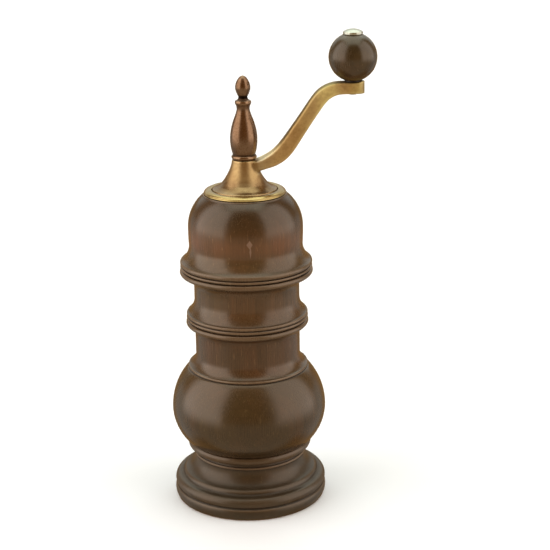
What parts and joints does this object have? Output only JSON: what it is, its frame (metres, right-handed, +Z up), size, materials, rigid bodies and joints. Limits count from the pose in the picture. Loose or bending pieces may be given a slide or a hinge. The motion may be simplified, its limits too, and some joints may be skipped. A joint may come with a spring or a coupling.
{
  "type": "hand-crank coffee mill",
  "caption": "Tall turned-wood hand mill with a brass bell hub and S-shaped crank, ball knob, finial nut for the grind, and a conical burr set in the foot.",
  "frame": {"origin": "centre of the underside of the foot, on the spindle axis, at the mouth of the outlet recess", "axes": "+Z up along the spindle, +X along the crank arm at rest"},
  "size_m": [0.0937, 0.0706, 0.2153],
  "materials": {
    "dark_wood": "satin dark stained",
    "aged_brass": "antiqued, worn bright on the edges",
    "bright_brass": "polished",
    "bronze": "satin antique bronze",
    "nickel": "polished",
    "steel": "satin",
    "burr_steel": "machined",
    "bush_bronze": "turned",
    "dark_washer": "blackened"
  },
  "bodies": {
    "mill": {"mill_body": "dark_wood", "mouth_ring": "bright_brass", "top_bridge": "steel", "bridge_rivets": "steel", "burr_housing": "burr_steel", "housing_screws": "steel", "grub_screws": "steel", "outer_burr": "burr_steel", "burr_spring": "steel", "burr_bush": "bush_bronze", "burr_bridge": "steel"},
    "drive": {"drive_bush": "bush_bronze", "bush_clip": "steel"},
    "spindle": {"spindle": "steel", "inner_burr": "burr_steel", "cross_pin": "steel", "spring_washer": "steel", "burr_washer": "steel", "burr_nut": "steel"},
    "crank": {"crank_casting": "aged_brass", "knob_axle": "nickel", "knob_washer": "dark_washer", "finial_washer": "dark_washer"},
    "knob": {"knob_ball": "dark_wood"},
    "finial": {"finial_nut": "bronze"}
  },
  "joints": [
    {"name": "crank_turn", "type": "hinge", "parent": "mill", "child": "drive", "pos_m": [0, 0, 0.1419], "axis": [0, 0, 1], "continuous": true},
    {"name": "grind_adjust", "type": "slide", "parent": "drive", "child": "spindle", "axis": [0, 0, 1], "range_m": [-0.00105, 0.0007], "deforming": ["burr_spring"]},
    {"name": "crank_lift", "type": "slide", "parent": "drive", "child": "crank", "axis": [0, 0, 1], "range_m": [0, 0.04]},
    {"name": "knob_spin", "type": "hinge", "parent": "crank", "child": "knob", "pos_m": [0.0478, 0, 0.2033], "axis": [0, 0, 1], "continuous": true},
    {"name": "finial_turn", "type": "hinge", "parent": "crank", "child": "finial", "pos_m": [0, 0, 0.165], "axis": [0, 0, 1], "range_deg": [-361, 541]}
  ],
  "couplings": [
    {"joint": "finial_turn", "follows": "grind_adjust", "rad_per_m": -8976}
  ]
}
